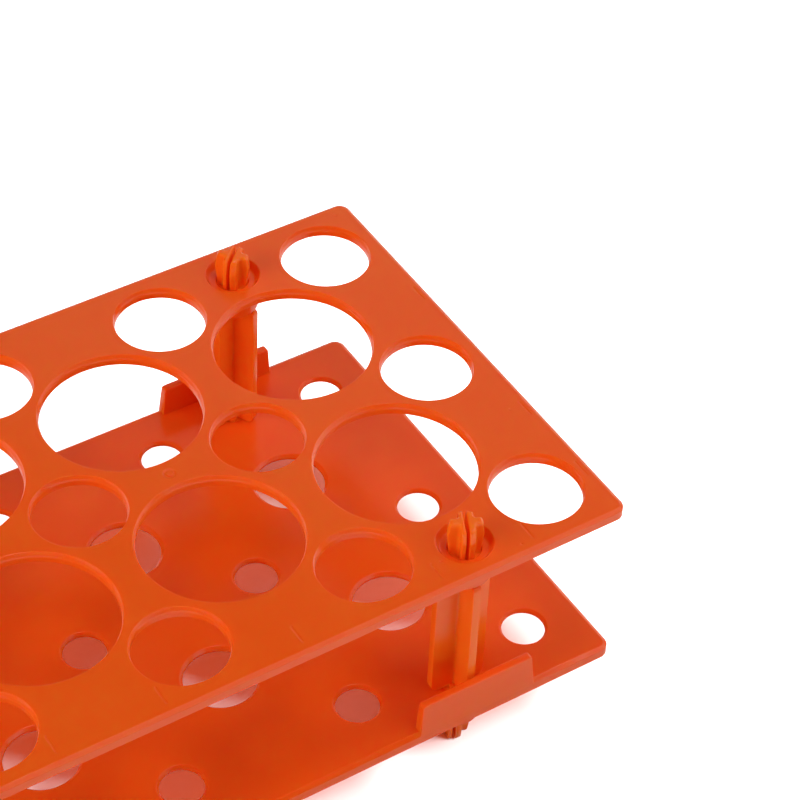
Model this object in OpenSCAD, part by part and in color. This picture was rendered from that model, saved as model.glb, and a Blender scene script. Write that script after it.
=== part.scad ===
// Two-tier tube rack: two moulded plates held apart by four snap-in posts.
// Frame: X along the rack, Y across it, Z up. Origin on the standing plane, at the middle.

/* [Tube positions] */
// Distance between neighbouring positions of one size
pitch = 37; // [36:0.5:40]
// Positions for narrow tubes in each row
narrow_columns = 6; // [4:1:8]
// Rows of narrow tubes; the wide tubes sit between them
narrow_rows = 3; // [2:1:5]
// Bore of a narrow position in the top plate
narrow_bore_d = 17.4; // [16:0.1:18]
// Bore of a wide position in the top plate
wide_bore_d = 30.4; // [29:0.1:31]
// Hole under a narrow position that centres the tip of its tube
narrow_tip_d = 8.3; // [6:0.1:9]
// Hole under a wide position that centres the tip of its tube
wide_tip_d = 14; // [12:0.1:15]

/* [Plates] */
// Thickness of both plates
plate_t = 2.4; // [2:0.1:3]
// From the outermost narrow column to the end of the plate
end_margin = 11.8; // [11:0.1:15]
// From the outermost narrow row to the long edge of the plate
side_margin = 12.4; // [12:0.1:15]
// Corner radius in plan
corner_r = 2.2; // [1:0.1:4]
// Width of the bevel round the upper edge
edge_bevel_w = 0.75; // [0.4:0.05:0.9]
// Height of the bevel round the upper edge
edge_bevel_h = 0.5; // [0.3:0.05:1]
// From the top of the lower plate to the top of the upper one
tier_rise = 37.3; // [30:0.1:45]

/* [Post seats] */
// Radius of the boss under each seat
boss_r = 5.15; // [4.8:0.05:5.6]
// Length of the hole in the top plate that grips a post
grip_l = 5.85; // [5:0.05:7]
// Radius of that hole
grip_r = 3.1; // [3.08:0.01:3.2]
// Radius of the round recess at the top plate's face
recess_r = 5.25; // [5:0.05:5.4]
// Radius of the recess at its floor
recess_floor_r = 4.5; // [4:0.05:4.8]
// Depth of the recess
recess_depth = 1.45; // [1:0.05:1.6]

/* [Posts] */
// From the plates' long edges to the posts' axes
post_inset = 8; // [6.5:0.1:8.2]
// Half the span of a shaft's ribs
shaft_r = 5.55; // [5.4:0.05:6]
// Thickness of a shaft's ribs
shaft_rib_t = 1.7; // [1.4:0.1:2.2]
// Rounding of the ribs' corners at the upper end of a shaft
shaft_corner_r = 0.9; // [0.4:0.1:1.2]
// Rounding of the ribs' corners at its foot
shaft_foot_r = 1.6; // [0.4:0.1:1.8]
// Radius of a plug where it passes through its seat
plug_neck_r = 3.03; // [2.9:0.01:3.06]
// Radius of a plug at its barb
plug_barb_r = 3.4; // [3.2:0.05:3.6]
// Half the span of the plug's plain rib at its tip
plain_tip_r = 2.65; // [2.2:0.05:2.9]
// Half the span of the plug's split rib at its tip
split_tip_r = 2.35; // [1.8:0.05:2.7]
// From the end of a seat to the tip of its plug
head_l = 6.75; // [6:0.05:8]
// Thickness of the plug's plain rib
plug_rib_t = 1.7; // [1.4:0.1:2]
// Thickness of the plug's split rib
split_rib_t = 2.65; // [2.2:0.05:2.8]
// Width of the slot that splits it
slot_w = 0.65; // [0.5:0.05:0.9]
// How far the slot is from the middle of the split rib
slot_offset = 0.175; // [0:0.025:0.25]
// Depth of the slot from the tip
slot_depth = 11; // [8:0.1:12]

/* [Rails] */
// Height of the rails on the lower plate's long edges
rail_h = 6.7; // [4:0.1:8]
// Thickness of a rail at its root
rail_root_t = 2.1; // [1.6:0.1:2.3]
// Thickness of a rail at its top
rail_top_t = 1.6; // [1:0.1:1.8]
// How far a rail's outer face leans in over its height
rail_lean = 0.46; // [0:0.02:0.6]
// Half the length of a rail at its root
rail_root_half_l = 12.5; // [8:0.1:16]
// Half the length of a rail at its top
rail_top_half_l = 12; // [7:0.1:15]
// Rounding of a rail's upper corners
rail_corner_r = 0.6; // [0.3:0.1:2]

/* [Hidden] */
$fn = 96;
eps = 0.01;

plate_l = (narrow_columns - 1) * pitch + 2 * end_margin;
plate_w = (narrow_rows - 1) * pitch + 2 * side_margin;

// Heights, from the standing plane up; the bosses of both plates are equally long
boss_l = grip_l + recess_depth;
lower_top_z = head_l + boss_l;
lower_base_z = lower_top_z - plate_t;
upper_top_z = lower_top_z + tier_rise;
upper_base_z = upper_top_z - plate_t;
recess_floor_z = upper_top_z - recess_depth;
upper_boss_z = recess_floor_z - grip_l;
lower_boss_z = lower_top_z - boss_l;
shaft_l = upper_boss_z - lower_top_z;
hanging_l = boss_l - plate_t;

// Bore edges: a chamfered rim, a short tapered lead-in, a fine ledge, then a straight wall
rim_extra_r = 0.3;
rim_chamfer = 0.15;
lead_in_h = 0.7;
ledge_h = 0.08;
ledge_r = 0.1;

// Tip holes: a shallow dish down to a thin lip, then a wide flare to the underside
narrow_dish_extra = 0.45;
wide_dish_extra = 0.6;
dish_depth = 0.6;
lip_h = 0.4;
lip_relief_r = 1.5;

// Round ejector marks under the lower plate
ejector_r = 5.6;
ejector_depth = 0.25;

// Gate marks on the top plate
gate_r = 0.7;
gate_pit_r = 1.3;
gate_pit_depth = 0.2;
gate_stub_h = 0.12;

boss_root_r = 0.4;
boss_edge = 0.3;
rail_edge = 0.15;

// Lead-in of a plug: the span just under its tip, and the chamfers along its ribs' edges
barb_from_tip = 2.95;
lead_from_tip = 0.6;
plain_lead_r = 3.1;
split_lead_r = 2.85;
tip_chamfer_w = 0.3;
tip_chamfer_h = 0.5;

// Each post's ribs and barbs have turned a little in their round seats
right_front_turn = -3.7;
right_back_turn = 25.8;
left_front_turn = 3.7;
left_back_turn = -12;
right_front_plug_turn = -25;
right_back_plug_turn = -46;
left_front_plug_turn = 18;
left_back_plug_turn = 36;

// The posts stand beside the outermost wide positions
post_x = (narrow_columns / 2 - 1) * pitch;
post_y = plate_w / 2 - post_inset;

// Centres of the narrow positions
function narrow_centres() = [
    for (i = [0 : narrow_columns - 1], j = [0 : narrow_rows - 1])
        [(i - (narrow_columns - 1) / 2) * pitch, (j - (narrow_rows - 1) / 2) * pitch]
];

// Centres of the wide positions, one in the middle of every four narrow ones
function wide_centres() = [
    for (i = [0 : narrow_columns - 2], j = [0 : narrow_rows - 2])
        [(i - (narrow_columns - 2) / 2) * pitch, (j - (narrow_rows - 2) / 2) * pitch]
];

function post_centres() = [for (x = [-post_x, post_x], y = [-post_y, post_y]) [x, y]];

module at_each(centres) {
    for (c = centres) translate([c[0], c[1], 0]) children();
}

// Section of a plate from its middle to its edge, with the bevel round the upper edge
module half_section(half) {
    polygon([
        [0, 0],
        [half, 0],
        [half, plate_t - edge_bevel_h],
        [half - edge_bevel_w, plate_t],
        [0, plate_t]
    ]);
}

// Full section across a plate
module full_section(half) {
    half_section(half);
    mirror([1, 0]) half_section(half);
}

// A plate with rounded corners and one bevelled edge all round, resting on z = 0
module bare_plate() {
    translate([0, plate_w / 2 - corner_r, 0]) rotate([90, 0, 0])
        linear_extrude(height = plate_w - 2 * corner_r) full_section(plate_l / 2);
    translate([corner_r - plate_l / 2, 0, 0]) rotate([90, 0, 90])
        linear_extrude(height = plate_l - 2 * corner_r) full_section(plate_w / 2);
    for (x = [-1, 1], y = [-1, 1])
        translate([x * (plate_l / 2 - corner_r), y * (plate_w / 2 - corner_r), 0])
            rotate_extrude() half_section(corner_r);
}

// Round boss that hangs below a plate, with a small cone at its root and a chamfered lower edge
module boss() {
    rotate_extrude() polygon([
        [0, -hanging_l],
        [boss_r - boss_edge, -hanging_l],
        [boss_r, boss_edge - hanging_l],
        [boss_r, -boss_root_r],
        [boss_r + boss_root_r, 0],
        [boss_r + boss_root_r, eps],
        [0, eps]
    ]);
}

// The space of one tube bore; z = 0 is the plate's upper face
module bore_space(r) {
    rotate_extrude() polygon([
        [0, eps],
        [r + rim_extra_r + eps, eps],
        [r + rim_extra_r, 0],
        [r + rim_extra_r - rim_chamfer, -rim_chamfer],
        [r + ledge_r, -lead_in_h],
        [r, -lead_in_h - ledge_h],
        [r, -plate_t - eps],
        [0, -plate_t - eps]
    ]);
}

// The space of one tip hole; z = 0 is the lower plate's upper face
module tip_space(r, dish_extra) {
    rotate_extrude() polygon([
        [0, eps],
        [r + dish_extra + eps, eps],
        [r + dish_extra, 0],
        [r, -dish_depth],
        [r, -dish_depth - lip_h],
        [r + lip_relief_r, -plate_t],
        [r + lip_relief_r, -plate_t - eps],
        [0, -plate_t - eps]
    ]);
}

// Hole that grips a plug
module grip_hole(base_z, length) {
    translate([0, 0, base_z - eps]) cylinder(r = grip_r, h = length + 2 * eps);
}

// Round recess round a barb at the top plate's face
module barb_recess() {
    translate([0, 0, recess_floor_z])
        cylinder(r1 = recess_floor_r, r2 = recess_r, h = recess_depth);
    translate([0, 0, upper_top_z - eps]) cylinder(r = recess_r, h = 2 * eps);
}

// Gate mark: a shallow pit with the stub of the gate in it
module gate_pit() {
    difference() {
        translate([0, 0, -gate_pit_depth]) cylinder(r = gate_pit_r, h = gate_pit_depth + eps);
        translate([0, 0, -gate_pit_depth - eps]) cylinder(r = gate_r, h = gate_stub_h + eps);
    }
}

// Rail on one long edge: a leaning section cut to a tapered outline; y = 0 is its outer face
module rail() {
    intersection() {
        rotate([90, 0, 90])
            linear_extrude(height = 2 * rail_root_half_l, center = true)
            polygon([
                [0, -edge_bevel_h - eps],
                [rail_root_t, -edge_bevel_h - eps],
                [rail_root_t, 0],
                [rail_lean + rail_top_t, rail_h - rail_edge],
                [rail_lean + rail_top_t - rail_edge, rail_h],
                [rail_lean + rail_edge, rail_h],
                [rail_lean, rail_h - rail_edge]
            ]);
        translate([0, rail_root_t + rail_lean, 0]) rotate([90, 0, 0])
            linear_extrude(height = 2 * (rail_root_t + rail_lean)) rail_outline();
    }
}

// Front view of a rail, with its upper corners rounded
module rail_outline() {
    side = rail_top_half_l - rail_corner_r;
    polygon([
        [-rail_root_half_l, -edge_bevel_h - eps],
        [rail_root_half_l, -edge_bevel_h - eps],
        [rail_top_half_l, rail_h - rail_corner_r],
        [side, rail_h],
        [-side, rail_h],
        [-rail_top_half_l, rail_h - rail_corner_r]
    ]);
    for (s = [-1, 1]) translate([s * side, rail_h - rail_corner_r]) circle(r = rail_corner_r);
}

// One flat rib of a shaft, with all its corners rounded; z = 0 is the lower shoulder
module shaft_rib() {
    foot = shaft_r - shaft_foot_r;
    head = shaft_r - shaft_corner_r;
    translate([0, shaft_rib_t / 2, 0]) rotate([90, 0, 0]) linear_extrude(height = shaft_rib_t) {
        polygon([
            [-foot, 0],
            [foot, 0],
            [shaft_r, shaft_foot_r],
            [shaft_r, shaft_l - shaft_corner_r],
            [head, shaft_l],
            [-head, shaft_l],
            [-shaft_r, shaft_l - shaft_corner_r],
            [-shaft_r, shaft_foot_r]
        ]);
        for (side = [-1, 1]) {
            translate([side * foot, shaft_foot_r]) circle(r = shaft_foot_r);
            translate([side * head, shaft_l - shaft_corner_r]) circle(r = shaft_corner_r);
        }
    }
}

// One rib of a plug, with chamfered edges at its tip, trimmed to a turned outer form.
// z = 0 is the tip; the neck of the rib runs on into the shaft.
module plug_rib(thickness, shift, tip_r, lead_r, neck_l) {
    entry = head_l + neck_l + shaft_corner_r;
    near = shift - thickness / 2;
    far = shift + thickness / 2;
    intersection() {
        rotate_extrude() polygon([
            [0, 0],
            [tip_r, 0],
            [lead_r, lead_from_tip],
            [plug_barb_r, barb_from_tip],
            [plug_neck_r, head_l],
            [plug_neck_r, entry],
            [0, entry]
        ]);
        translate([0, plug_barb_r, 0]) rotate([90, 0, 0])
            linear_extrude(height = 2 * plug_barb_r)
            polygon([
                [near + tip_chamfer_w, 0],
                [far - tip_chamfer_w, 0],
                [far, tip_chamfer_h],
                [far, entry],
                [near, entry],
                [near, tip_chamfer_h]
            ]);
    }
}

// Cross-shaped plug with one rib split by a slot, so that its halves spring together.
// The split rib is thicker on one side of its slot than on the other.
module plug(neck_l) {
    difference() {
        union() {
            rotate(90) plug_rib(plug_rib_t, 0, plain_tip_r, plain_lead_r, neck_l);
            plug_rib(split_rib_t, slot_offset, split_tip_r, split_lead_r, neck_l);
        }
        translate([-slot_w / 2, -plug_barb_r - eps, -eps])
            cube([slot_w, 2 * (plug_barb_r + eps), slot_depth]);
    }
}

module post(turn, plug_turn) {
    translate([0, 0, lower_top_z]) rotate(turn) {
        shaft_rib();
        rotate(90) shaft_rib();
    }
    rotate(plug_turn) plug(boss_l);
    translate([0, 0, upper_boss_z + grip_l + head_l]) rotate(plug_turn)
        mirror([0, 0, 1]) plug(grip_l);
}

module top_plate() {
    color([0.91, 0.37, 0.13]) difference() {
        union() {
            translate([0, 0, upper_base_z]) bare_plate();
            translate([0, 0, upper_base_z]) at_each(post_centres()) boss();
        }
        translate([0, 0, upper_top_z]) {
            at_each(narrow_centres()) bore_space(narrow_bore_d / 2);
            at_each(wide_centres()) bore_space(wide_bore_d / 2);
            at_each([[-pitch, 0], [pitch, 0]]) gate_pit();
        }
        at_each(post_centres()) {
            grip_hole(upper_boss_z, grip_l);
            barb_recess();
        }
    }
}

module lower_plate() {
    color([0.84, 0.29, 0.1]) difference() {
        union() {
            translate([0, 0, lower_base_z]) bare_plate();
            translate([0, 0, lower_base_z]) at_each(post_centres()) boss();
            for (x = [-post_x, post_x], turn = [0, 180]) rotate(turn)
                translate([x, -plate_w / 2, lower_top_z]) rail();
        }
        translate([0, 0, lower_top_z]) {
            at_each(narrow_centres()) tip_space(narrow_tip_d / 2, narrow_dish_extra);
            at_each(wide_centres()) tip_space(wide_tip_d / 2, wide_dish_extra);
        }
        at_each(post_centres()) grip_hole(lower_boss_z, boss_l);
        at_each(ejector_centres())
            translate([0, 0, lower_base_z - eps]) cylinder(r = ejector_r, h = ejector_depth + eps);
    }
}

// Ejector marks: between the rows of the even columns, and beyond the wide positions at the sides
function ejector_centres() = concat(
    [for (i = [0 : narrow_columns - 1], s = [-1, 1])
        [(i - (narrow_columns - 1) / 2) * pitch, s * pitch / 2]],
    [for (s = [-1, 1], t = [-1, 1]) [s * pitch, t * pitch]]
);

module post_front_right() {
    color([0.94, 0.4, 0.1]) translate([post_x, -post_y, 0])
        post(right_front_turn, right_front_plug_turn);
}

module post_back_right() {
    color([0.94, 0.4, 0.1]) translate([post_x, post_y, 0])
        post(right_back_turn, right_back_plug_turn);
}

module post_front_left() {
    color([0.94, 0.4, 0.1]) translate([-post_x, -post_y, 0])
        post(left_front_turn, left_front_plug_turn);
}

module post_back_left() {
    color([0.94, 0.4, 0.1]) translate([-post_x, post_y, 0])
        post(left_back_turn, left_back_plug_turn);
}

top_plate();
lower_plate();
post_front_right();
post_back_right();
post_front_left();
post_back_left();
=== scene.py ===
"""Two-tier tube rack: moulded plates, snap-in posts and a plain studio round them.

Everything is in metres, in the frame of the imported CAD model: X along the rack,
Y across it, Z up, with the origin on the standing plane at the middle.
"""

import math

import bmesh
import bpy
from mathutils import Euler, Matrix, Vector


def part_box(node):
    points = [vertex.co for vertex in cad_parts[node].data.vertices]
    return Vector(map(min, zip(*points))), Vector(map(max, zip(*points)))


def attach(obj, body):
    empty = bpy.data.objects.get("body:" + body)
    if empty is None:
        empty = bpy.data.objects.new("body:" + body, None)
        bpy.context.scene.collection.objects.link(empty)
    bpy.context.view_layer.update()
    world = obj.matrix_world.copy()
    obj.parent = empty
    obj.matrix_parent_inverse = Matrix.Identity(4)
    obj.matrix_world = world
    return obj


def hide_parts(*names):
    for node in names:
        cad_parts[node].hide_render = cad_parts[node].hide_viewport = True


bl_info = {
    "name": "Two-tier tube rack",
    "version": (1, 0, 0),
    "blender": (4, 5, 0),
    "location": "View3D > Sidebar > Tube rack",
    "description": "Moulded plates, snap-in posts and a studio for a rack of conical tubes",
    "category": "Object",
}

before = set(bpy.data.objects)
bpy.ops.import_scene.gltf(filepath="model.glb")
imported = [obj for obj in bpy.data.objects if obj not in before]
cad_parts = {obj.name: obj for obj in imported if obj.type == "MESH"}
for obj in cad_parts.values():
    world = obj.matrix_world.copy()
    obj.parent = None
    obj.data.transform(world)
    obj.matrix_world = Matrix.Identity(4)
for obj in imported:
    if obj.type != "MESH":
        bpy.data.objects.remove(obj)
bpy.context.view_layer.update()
TOP_LOW, TOP_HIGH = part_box("top_plate")
LOWER_LOW, LOWER_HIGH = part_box("lower_plate")

MM = 0.001
BODY = "root"

# Points nearer to each other than this are one point, in metres
WELD = 1e-6

# The most of a side that the arc at one of its corners takes up
ARC_SHARE = 0.49

# In a moulded profile an arc under FINE_ARC is one chord, and a straight stretch over LONG_RUN
# has a point HOLD from each of its ends, which keeps its shading flat
FINE_ARC = 0.07 * MM
LONG_RUN = 0.6 * MM
HOLD = 0.05 * MM

# Steps round a quarter of a hole, whatever its radius, and round a plate's corner
LEAST_STEPS, MOST_STEPS = 6, 26
CORNER_STEPS = 10

# Each post: its side along and across the rack, and how far its shaft and its plugs have turned
# in their round seats, in degrees
POST_TURNS = {
    "post_front_right": (1, -1, -3.7, -25),
    "post_back_right": (1, 1, 25.8, -46),
    "post_front_left": (-1, -1, 3.7, 18),
    "post_back_left": (-1, 1, -12, 36),
}

# Places of marks in the top plate's right half, in millimetres; the left half mirrors them
PIN_PLACES = ((100.7, 46.3), (67.6, -43.5), (82.4, -47.2), (99.9, -17.5))
STROKE_PLACES = ((10.3, -45), (37, -45), (65.8, -45), (85.1, -45),
                 (102.5, -37), (102.5, -18.5), (102.5, 18.5))

# How far a rail reaches down into the plate, and half of a plug into the shaft
RAIL_ROOT = 0.5 * MM
PLUG_ROOT = 0.6 * MM

# Inside a seat a web joins a plug's ribs: how far it stays back from the slot's face, from the
# neck's radius and from the shaft's end
WEB_SLOT_GAP = 0.03 * MM
WEB_WALL_GAP = 0.04 * MM
WEB_START = 0.2 * MM

# Past the slot's floor a block joins the plug's halves: how far it reaches into each of them and
# into the shaft, and its half length as a share of the neck's radius
BLOCK_OVERLAP = 0.05 * MM
BLOCK_ROOT = 0.5 * MM
BLOCK_SHARE = 0.94

# Noise patterns of the plastics: scale, detail and roughness
CLOUDS = (45, 3, 0.55)
WEAR = (160, 4, 0.6)
WAVES = (110, 2, 0.4)
GRAIN = (2600, 2, 0.5)

# The values of the noise between which the clouds and the wear change
CLOUDS_RANGE = (0.35, 0.68)
WEAR_RANGE = (0.3, 0.7)

# How far the wear moves the roughness either way
WEAR_SPAN = 0.012

# Strength of a bump and its height in metres
WAVES_BUMP = (0.25, 0.06 * MM)
GRAIN_BUMP = (0.12, 0.02 * MM)

# Painted light discs over the ejector marks, for light that passes through the thinner plastic
# there: where they begin to fade and where they end, from the middle of a mark; the share of each
# colour away from them; and what each colour gains in them
LIGHT_DISC_FADE = (3.2 * MM, 7.4 * MM)
LIGHT_DISC_BASE = 0.97
LIGHT_DISC_GAINS = {"Red": 0.03, "Green": 0.10, "Blue": 0.10}

# Soft boxes round the rack: azimuth from +X and elevation in degrees, distance and side in
# metres, the brightness that each gives at the rack, and whether its light falls on the floor too
SOFT_BOXES = {
    "left_low": (180, 20, 1.1, 0.8, 1.85, False),
    "left_high": (180, 50, 1.1, 0.8, 0.25, True),
    "top": (-60, 80, 1.0, 0.25, 0.52, True),
    "back_right_low": (45, 20, 0.8, 0.8, 0.50, True),
    "right_low": (0, 20, 0.8, 0.8, 0.60, True),
    "front_right_low": (315, 20, 0.8, 0.8, 0.42, True),
    "front_right_high": (315, 50, 0.8, 0.8, 0.88, False),
}

# The soft box that is left out of glossy reflections, because it would glare off the top plate
NO_GLARE = "left_low"

# Lights that reach the floor only: azimuth and elevation, with their distance and side
FLOOR_LIGHTS = {"floor_light_front": (-45, 45), "floor_light_back": (120, 58)}
FLOOR_LIGHT_REACH = 2
FLOOR_LIGHT_SIDE = 1.2

# The point that every light is turned to
AIM = Vector((0.04, 0.0, 0.03))


# ---------------------------------------------------------------- settings

def length(name, description, default, **limits):
    """A size in metres, given in millimetres."""
    return bpy.props.FloatProperty(
        name=name, description=description, default=default * MM,
        unit="LENGTH", subtype="DISTANCE", precision=5, **limits)


def colour(name, description, default):
    """A colour, in linear red, green and blue."""
    return bpy.props.FloatVectorProperty(
        name=name, description=description, default=default,
        subtype="COLOR", size=3, min=0.0, max=1.0)


class RackGrid(bpy.types.PropertyGroup):
    """Where the tubes stand and how wide their holes are."""

    pitch: length("Pitch", "Distance between neighbouring tubes of one size", 37)
    columns: bpy.props.IntProperty(
        name="Narrow columns", description="Narrow tubes along the rack", default=6, min=2)
    rows: bpy.props.IntProperty(
        name="Narrow rows", description="Narrow tubes across the rack", default=3, min=2)
    narrow_bore_r: length("Narrow bore", "Radius of a narrow bore's wall", 8.7)
    wide_bore_r: length("Wide bore", "Radius of a wide bore's wall", 15.2)
    narrow_tip_r: length("Narrow tip hole", "Radius of the lip under a narrow bore", 4.15)
    wide_tip_r: length("Wide tip hole", "Radius of the lip under a wide bore", 7)
    narrow_dish: length("Narrow dish", "How far a narrow tip hole's dish is wider", 0.45)
    wide_dish: length("Wide dish", "How far a wide tip hole's dish is wider", 0.6)


class RackPlate(bpy.types.PropertyGroup):
    """Sizes that both plates share."""

    thickness: length("Thickness", "Thickness of a plate", 2.4)
    corner_r: length("Corner radius", "Radius of a corner in plan", 2.2)
    bevel_w: length("Bevel width", "Width of the bevel round the upper edge", 0.75)
    bevel_h: length("Bevel height", "Height of the bevel round the upper edge", 0.5)
    crease_r: length("Crease radius", "Rounding of the bevel's two creases", 0.16)
    rim_r: length("Rim radius", "Rounding of a bore's rim", 0.16)
    stroke_half_l: length("Stroke", "Half the length of an index stroke in the top face", 1.9)
    steps_per_mm: bpy.props.FloatProperty(
        name="Steps per millimetre",
        description="Steps round a quarter of a hole for each millimetre of its radius",
        default=1.9, min=0.5)


class RackSeats(bpy.types.PropertyGroup):
    """The round seats that grip the posts."""

    x: length("Seat X", "From the middle of the rack to a post, along it", 74)
    y: length("Seat Y", "From the middle of the rack to a post, across it", 41.4)
    boss_r: length("Boss radius", "Radius of the boss under a seat", 5.15)
    boss_l: length("Boss length", "From the plate's face to the end of its boss", 7.3)
    grip_r: length("Grip radius", "Radius of the hole that grips a post", 3.1)
    recess_r: length("Recess radius", "Radius of the recess at the plate's face", 5.25)
    recess_floor_r: length("Recess floor", "Radius of the recess at its floor", 4.5)
    recess_depth: length("Recess depth", "Depth of the recess", 1.45)


class RackRails(bpy.types.PropertyGroup):
    """The four upright rails on the lower plate's long edges."""

    height: length("Height", "Height of a rail above the plate", 6.7)
    thickness: length("Thickness", "From a rail's outer face at its root to its inner face", 2.06)
    lean: length("Lean", "How far the outer face leans in over the height", 0.46)
    root_half_l: length("Half length at the root", "Half the length of a rail at its root", 12.5)
    top_half_l: length("Half length at the top", "Half the length of a rail at its top", 12)
    corner_r: length("Corner radius", "Rounding of the upper corners", 0.6)
    edge_r: length("Edge radius", "Rounding of the long edges", 0.22)


class RackPosts(bpy.types.PropertyGroup):
    """The snap-in posts: a cross-ribbed shaft with a split plug at each end."""

    shaft_r: length("Shaft span", "Half the span of a shaft's ribs", 5.55)
    shaft_rib_t: length("Shaft rib", "Thickness of a shaft's ribs", 1.7)
    head_corner_r: length("Upper corners", "Rounding of the ribs' upper corners", 0.9)
    foot_corner_r: length("Lower corners", "Rounding of the ribs' lower corners", 1.6)
    edge_r: length("Edge radius", "Rounding of the ribs' long edges", 0.16)
    fillet_r: length("Fillet", "Fillet between two ribs", 0.45)
    neck_r: length("Neck", "Radius of a plug in its seat", 3.06)
    barb_r: length("Barb", "Radius of a plug at its barb", 3.4)
    head_l: length("Head length", "From the end of a seat to the tip of its plug", 6.75)
    plain_rib_t: length("Plain rib", "Thickness of a plug's plain rib", 1.7)
    slot_w: length("Slot", "Width of the slot through a plug", 0.65)
    split_near: length("Split rib, thin side", "From the slot's middle to one side", 1.15)
    split_far: length("Split rib, thick side", "From the slot's middle to the other", 1.5)
    slot_depth: length("Slot depth", "Depth of the slot from the tip", 11)
    plug_fillet_r: length("Plug fillet", "Fillet between two ribs of a plug", 0.8)
    web_depth: length("Web depth", "From a seat's mouth to the web between a plug's ribs", 1.0)
    tip_round_w: length("Tip rounding", "How far the ribs draw in at the tip", 0.4)
    tip_round_h: length("Tip dome", "Height over which the ribs draw in", 0.65)


class RackFinish(bpy.types.PropertyGroup):
    """Colour and surface of the two mouldings."""

    plate_colour: colour("Plate colour", "Colour of the plates", (0.94, 0.126, 0.008))
    plate_deep: colour("Plate, deeper", "Colour of the plates' slightly darker clouds",
                       (0.92, 0.113, 0.006))
    # The posts' colours are lighter copies of the plates' colours, as painted light for the light
    # and scatter that the thin posts catch
    post_lit_colour: colour("Post colour", "Colour of the posts", (0.95, 0.182, 0.010))
    post_lit_deep: colour("Post, deeper", "Colour of the posts' slightly darker clouds",
                      (0.93, 0.165, 0.008))
    glow: colour("Glow", "Share of each colour of a lamp's light that a face lets through",
                 (0.44, 0.14, 0.05))
    depth: length("Scatter depth", "How far red light travels inside the plastic", 1.0)
    roughness: bpy.props.FloatProperty(
        name="Roughness", description="Roughness of the satin surface", default=0.19,
        min=0.0, max=1.0)
    shine: bpy.props.FloatProperty(
        name="Shine", description="Specular level of the satin surface", default=0.36,
        min=0.0, max=1.0)
    # The posts' glow is a painted glow: emission that stands in for light scattered into their
    # shaded slots and hollows
    post_painted_glow: bpy.props.FloatProperty(
        name="Post glow", description="How much the brighter dye of the posts glows by itself",
        default=0.035, min=0.0, max=1.0)


class RackStudio(bpy.types.PropertyGroup):
    """Floor, lights and camera."""

    floor_size: length("Floor size", "Width of the floor", 6000)
    floor_colour: colour("Floor colour", "Colour of the floor", (0.93, 0.93, 0.93))
    sky: bpy.props.FloatProperty(
        name="Sky", description="Strength of the even light from all round", default=0.02, min=0)
    backdrop: bpy.props.FloatProperty(
        name="Backdrop", description="Brightness that shows past the floor's edge",
        default=1.0, min=0)
    power: bpy.props.FloatProperty(
        name="Power", description="Power of a soft box of brightness one, a metre away",
        default=3.5, min=0, unit="POWER")
    floor_power: bpy.props.FloatProperty(
        name="Floor lights", description="Power of each of the lights that reach the floor only",
        default=65.0, min=0, unit="POWER")
    floor_bounce: bpy.props.FloatProperty(
        name="Floor bounce", description="Share of the light that the floor throws on the rack",
        default=0.38, min=0.0, max=1.0)
    lens: bpy.props.FloatProperty(
        name="Focal length", description="Focal length of the camera", default=138.246,
        unit="CAMERA")
    shift: bpy.props.FloatVectorProperty(
        name="Shift", description="Shift of the camera's frame", size=2,
        default=(-0.10885, -0.26407))
    place: bpy.props.FloatVectorProperty(
        name="Camera place", description="Where the camera stands", size=3,
        subtype="TRANSLATION", unit="LENGTH", default=(-0.151823, -0.347495, 0.451929))
    turn: bpy.props.FloatVectorProperty(
        name="Camera turn", description="Rotation of the camera", size=3, subtype="EULER",
        default=(math.radians(49.99784), math.radians(-3.22592), math.radians(-33.6153)))


# ---------------------------------------------------------------- outlines and profiles

def rounded(points, radii, steps=4, closed=True, fine=0.0):
    """The polyline with an arc at each corner; an arc under the fine radius is one chord."""
    result = []
    count = len(points)
    for index, (point, radius) in enumerate(zip(points, radii)):
        at = Vector(point)
        if radius <= 0 or (not closed and index in (0, count - 1)):
            result.append(at)
            continue
        back = Vector(points[index - 1]) - at
        ahead = Vector(points[(index + 1) % count]) - at
        half = back.angle(ahead) / 2
        reach = min(radius / math.tan(half), back.length * ARC_SHARE, ahead.length * ARC_SHARE)
        radius = reach * math.tan(half)
        inward = (back.normalized() + ahead.normalized()).normalized()
        centre = at + inward * (radius / math.sin(half))
        start = at + back.normalized() * reach - centre
        end = at + ahead.normalized() * reach - centre
        sweep = start.angle(end)
        parts = steps if radius >= fine else 1
        for step in range(parts + 1):
            share = step / parts
            arm = start * math.sin((1 - share) * sweep) + end * math.sin(share * sweep)
            result.append(centre + arm / math.sin(sweep))
    return result


def held(points):
    """The open polyline with a point near both ends of every long straight stretch."""
    result = [points[0]]
    for start, end in zip(points, points[1:]):
        run = end - start
        if run.length > LONG_RUN:
            step = run.normalized() * HOLD
            result.extend([start + step, end - step])
        result.append(end)
    return result


def profile_object(name, points):
    """A bare polyline of (radius, height) points that the plate tree reads."""
    mesh = bpy.data.meshes.new(name)
    mesh.from_pydata([(x, 0, z) for x, z in points],
                     [(i, i + 1) for i in range(len(points) - 1)], [])
    return bpy.data.objects.new(name, mesh)


def moulded_profile(name, corners):
    """A profile from (radius, height, rounding) corners, from its upper end to its lower one."""
    line = rounded([(x, z) for x, z, _ in corners], [r for _, _, r in corners],
                   steps=3, closed=False, fine=FINE_ARC)
    return profile_object(name, held(line))


def edge_profile(plate, top_z):
    """The outer edge of a plate, with its bevel; radii are from the centre of a corner."""
    r = plate.corner_r
    base = top_z - plate.thickness
    return moulded_profile("edge_profile", [
        (r - plate.bevel_w - plate.crease_r, top_z, 0),
        (r - plate.bevel_w, top_z, plate.crease_r),
        (r, top_z - plate.bevel_h, plate.crease_r),
        (r, base, 0.08 * MM),
        (r - 0.12 * MM, base, 0),
    ])


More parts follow.
